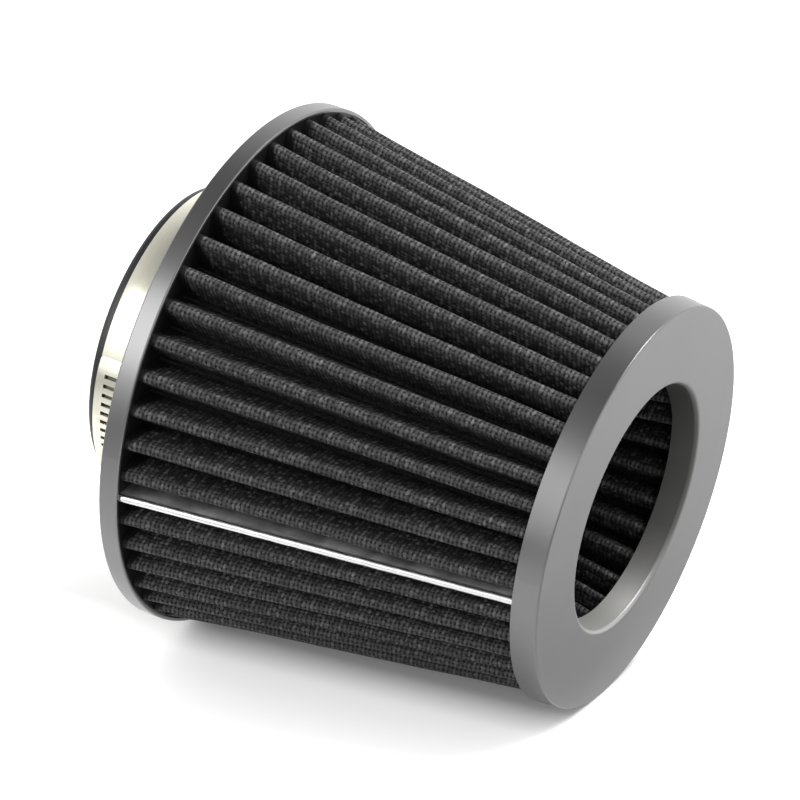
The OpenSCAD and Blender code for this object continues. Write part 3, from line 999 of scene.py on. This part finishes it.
def worm_thread(clamp):
    """The worm's thread as a closed ridge that lies in its place in the housing."""
    foot = clamp.neck_radius + 2 * clamp.band + clamp.plate + 3 * clamp.fit
    root = clamp.root / 2
    turns = (clamp.housing_length - 2 * clamp.plate) / clamp.slot_pitch - 0.5
    from_tip = clamp.tail_angle * clamp.neck_radius - clamp.tip
    phase = (from_tip + clamp.slot_pitch / 2) % clamp.slot_pitch - clamp.slot_pitch / 2
    deselect()
    bpy.ops.mesh.primitive_plane_add(size=1)
    piece = bpy.context.object
    foot_half, crest_half, sunk = 0.6 * MM, 0.22 * MM, 0.2 * MM
    crest = clamp.thread / 2
    sides = ((root - sunk, -foot_half), (crest, -crest_half), (root - sunk, foot_half), (crest, crest_half))
    for vertex, (radius, along) in zip(piece.data.vertices, sides):
        vertex.co = Vector((-radius, 0, along - turns * clamp.slot_pitch / 2))
    edit_faces(piece, lambda co: True)
    bpy.ops.mesh.delete(type="ONLY_FACE")
    done_editing()
    apply_modifier(piece, "SCREW", axis="Z", angle=TURN * turns, screw_offset=turns * clamp.slot_pitch,
                   steps=int(32 * turns), iterations=1, use_smooth_shade=False)
    edit_edges(piece, lambda *ends: False)
    bpy.ops.mesh.select_non_manifold()
    bpy.ops.mesh.edge_face_add()
    bpy.ops.mesh.select_all(action="SELECT")
    bpy.ops.mesh.normals_make_consistent(inside=False)
    done_editing()
    out = polar(1, clamp.housing_angle)
    aside = polar(1, clamp.housing_angle + math.pi / 2)
    place = polar(foot + root, clamp.housing_angle, (BAND_LOW + BAND_HIGH) / 2) - aside * phase
    piece.matrix_world = upright(out, aside.cross(out), aside, place)
    bake_place(piece)
    return piece


class CONEFILTER_OT_clamp_screw(bpy.types.Operator):
    """Turn the worm screw, with its thread, collar and slotted hexagonal head"""

    bl_idname = "cone_filter.clamp_screw"
    bl_label = "Worm screw"

    def execute(self, context):
        clamp = settings().clamp
        core = edged_copy("clamp_screw", "screw", 0.12 * MM)
        thread = worm_thread(clamp)
        apply_modifier(core, "BOOLEAN", operation="UNION", solver="EXACT", object=thread)
        deselect()
        bpy.data.objects.remove(thread)
        smooth(core)
        return {"FINISHED"}


# Stage

RING_EDGE = 0.5 * MM


def table_axes():
    """The table's upward direction, and the filter's axis laid flat on it."""
    wide = reach("base_ring", BASE_FRONT - RING_EDGE)
    narrow = reach("end_cap", CAP_FRONT - RING_EDGE)
    tilt = math.atan2(wide - narrow, CAP_FRONT - BASE_FRONT)
    up = Vector((0, -math.cos(tilt), -math.sin(tilt)))
    along = Vector((0, -math.sin(tilt), math.cos(tilt)))
    return up, along


def table_direction(heading, elevation):
    """A direction given by its angle from the filter's axis on the table, and its angle above it."""
    up, along = table_axes()
    level = along * math.cos(heading) + Vector((1, 0, 0)) * math.sin(heading)
    return (level * math.cos(elevation) + up * math.sin(elevation)).normalized()


def upright(right, up, back, place):
    """The matrix of a camera or lamp that looks along minus back."""
    matrix = Matrix((right, up, back)).transposed().to_4x4()
    matrix.translation = place
    return matrix


def add_camera(stage):
    back = table_direction(stage.heading, stage.elevation)
    right = table_axes()[0].cross(back).normalized()
    over = back.cross(right)
    rolled = right * math.cos(stage.roll) + over * math.sin(stage.roll)
    place = Vector(stage.aim) + back * stage.distance
    deselect()
    bpy.ops.object.camera_add()
    camera = bpy.context.object
    camera.name = "camera"
    camera.matrix_world = upright(rolled, back.cross(rolled), back, place)
    camera.data.lens = stage.lens
    camera.data.sensor_width = 36
    camera.data.clip_end = 30
    bpy.context.scene.camera = camera


def add_softbox(name, heading, elevation, distance, width, height, watts):
    """A rectangular lamp that faces the middle of the filter, placed by its angles in degrees."""
    middle = Vector(settings().stage.aim)
    back = table_direction(math.radians(heading), math.radians(elevation))
    right = table_axes()[0].cross(back).normalized()
    deselect()
    bpy.ops.object.light_add(type="AREA")
    lamp = bpy.context.object
    lamp.name = name
    lamp.data.shape = "RECTANGLE"
    lamp.data.size = width
    lamp.data.size_y = height
    lamp.data.energy = watts
    lamp.matrix_world = upright(right, back.cross(right), back, middle + back * distance)


def table_material():
    """White table that carries the soft shadow beside the filter and fades into plain white. Its glow to the
    camera is weakest along the line under the filter, a painted shadow over the cast one; it is darker to
    bounced light, darker in parts in reflections, and glows beside the filter in reflections only: painted
    reflections.
    """
    material, tree, _ = new_material("white_table")
    tree.nodes.clear()
    path = put(tree, "ShaderNodeLightPath").outputs
    place = object_place(tree)
    split = parts_of(tree, place)
    side, length = split["X"], split["Z"]
    away = vectors(tree, "DISTANCE", place, settings().stage.aim)["Value"]
    near_and_far = (0.13, 0.38)

    def product(first, *others):
        for other in others:
            first = reckon(tree, "MULTIPLY", first, other)
        return first

    # Painted reflections: in reflections the table darkens further from the filter on the camera's side and
    # beyond the cap's front; to bounced light it is dimmed to 0.45.
    dim_aside = product(ranged(tree, away, *near_and_far, 0.0, 0.68), ranged(tree, side, -0.05, 0.05))
    dim_front = product(ranged(tree, length, CAP_FRONT, CAP_FRONT + 0.01),
                        ranged(tree, away, *near_and_far, 0.32, 0.1))
    painted_dimming = product(path["Is Glossy Ray"], reckon(tree, "ADD", dim_aside, dim_front))
    painted_dimming = reckon(tree, "MULTIPLY_ADD", path["Is Diffuse Ray"], 0.55, painted_dimming)
    white = put(tree, "ShaderNodeBsdfDiffuse", {"Color": blended(
        tree, painted_dimming, solid((0.88, 0.88, 0.88)), solid((0, 0, 0)))})
    # Painted shadow: the glow seen by the camera is only 0.1 within 17 mm of the line under the filter's
    # axis, rising to 0.5 at 34 mm and to full further away.
    beside = ranged(tree, reckon(tree, "ABSOLUTE", side), 0.017, 0.034, 0.1, 0.5)
    seen = product(path["Is Camera Ray"], reckon(tree, "MAXIMUM", beside, ranged(tree, away, 0.3, 0.9)))
    # Painted reflection: a glow seen only in reflections, in a strip beside the filter on the camera's side,
    # strongest near the base end.
    mirrored = product(path["Is Glossy Ray"], ranged(tree, side, 0.087, 0.112, 0.5, 0.0),
                       ranged(tree, side, 0.01, 0.025), ranged(tree, length, 0.03, 0.1, 1.0, 0.15))
    glow = put(tree, "ShaderNodeEmission", {
        "Color": solid((1, 1, 1)), "Strength": reckon(tree, "ADD", seen, mirrored)})
    lit = put(tree, "ShaderNodeAddShader", {0: white.outputs[0], 1: glow.outputs[0]})
    clear = put(tree, "ShaderNodeBsdfTransparent")
    below = put(tree, "ShaderNodeNewGeometry").outputs["Backfacing"]
    unseen = reckon(tree, "MAXIMUM", below, path["Is Shadow Ray"])
    mixed = put(tree, "ShaderNodeMixShader", {0: unseen, 1: lit.outputs[0], 2: clear.outputs[0]})
    leave = put(tree, "ShaderNodeOutputMaterial")
    tree.links.new(mixed.outputs[0], leave.inputs["Surface"])
    return material


def add_table(stage):
    up, along = table_axes()
    touch = Vector((0, reach("base_ring", BASE_FRONT - RING_EDGE), BASE_FRONT))
    middle = touch + along * (CAP_FRONT - BASE_FRONT) / 2
    deselect()
    bpy.ops.mesh.primitive_plane_add(size=stage.table_size)
    table = bpy.context.object
    table.name = "table"
    table.matrix_world = upright(along.cross(up), along, up, middle)
    bake_place(table)
    table.data.materials.append(table_material())


def sky():
    """White to the camera, soft light from above and behind, and a darker top in reflections."""
    world = bpy.context.scene.world or bpy.data.worlds.new("studio")
    bpy.context.scene.world = world
    world.use_nodes = True
    tree = world.node_tree
    tree.nodes.clear()
    path = put(tree, "ShaderNodeLightPath")
    facing = put(tree, "ShaderNodeTexCoord").outputs["Generated"]
    behind = table_direction(math.radians(-110), math.radians(45))
    soft = ranged(tree, vectors(tree, "DOT_PRODUCT", facing, behind)["Value"], -0.3, 0.9, 0.3, 1.45)
    over = vectors(tree, "DOT_PRODUCT", facing, table_axes()[0])["Value"]
    mirrored = ranged(tree, over, 0.42, 0.95, 1.3, 0.12)
    lit = reckon(tree, "MULTIPLY_ADD", path.outputs["Is Glossy Ray"],
                 reckon(tree, "SUBTRACT", mirrored, soft), soft)
    back = put(tree, "ShaderNodeBackground", {"Color": (1, 1, 1, 1), "Strength": reckon(
        tree, "MULTIPLY_ADD", path.outputs["Is Camera Ray"], reckon(tree, "SUBTRACT", 1.0, lit), lit)})
    leave = put(tree, "ShaderNodeOutputWorld")
    tree.links.new(back.outputs[0], leave.inputs["Surface"])


class CONEFILTER_OT_stage(bpy.types.Operator):
    """Set the camera, the white table, the lamps and the sky"""

    bl_idname = "cone_filter.stage"
    bl_label = "Stage"

    def execute(self, context):
        stage = settings().stage
        add_camera(stage)
        add_table(stage)
        sky()
        add_softbox("key", heading=118, elevation=28, distance=1.5, width=0.9, height=0.85, watts=6.6)
        add_softbox("top", heading=-35, elevation=57, distance=1.5, width=1.1, height=0.5, watts=17)
        context.scene.view_settings.view_transform = "Standard"
        return {"FINISHED"}


OPERATORS = (
    CONEFILTER_OT_rings, CONEFILTER_OT_moulding, CONEFILTER_OT_outer_pack, CONEFILTER_OT_inner_pack,
    CONEFILTER_OT_outer_clip, CONEFILTER_OT_clamp_band, CONEFILTER_OT_clamp_housing,
    CONEFILTER_OT_clamp_screw, CONEFILTER_OT_stage,
)


class CONEFILTER_PT_panel(bpy.types.Panel):
    """Steps that build the cone air filter"""

    bl_idname = "CONEFILTER_PT_panel"
    bl_label = "Cone air filter"
    bl_space_type = "VIEW_3D"
    bl_region_type = "UI"
    bl_category = "Cone filter"

    def draw(self, context):
        for step in OPERATORS:
            self.layout.operator(step.bl_idname)


CLASSES = (
    OuterPackSettings, InnerPackSettings, ClampSettings, FinishSettings, StageSettings, FilterSettings,
    *OPERATORS, CONEFILTER_PT_panel,
)


def register():
    for item in CLASSES:
        bpy.utils.register_class(item)
    bpy.types.Scene.cone_filter = bpy.props.PointerProperty(type=FilterSettings)


def unregister():
    del bpy.types.Scene.cone_filter
    for item in reversed(CLASSES):
        bpy.utils.unregister_class(item)


def main():
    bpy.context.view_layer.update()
    register()
    for step in OPERATORS:
        name = step.bl_idname.partition(".")[2]
        getattr(bpy.ops.cone_filter, name)()


if __name__ == "__main__":
    main()
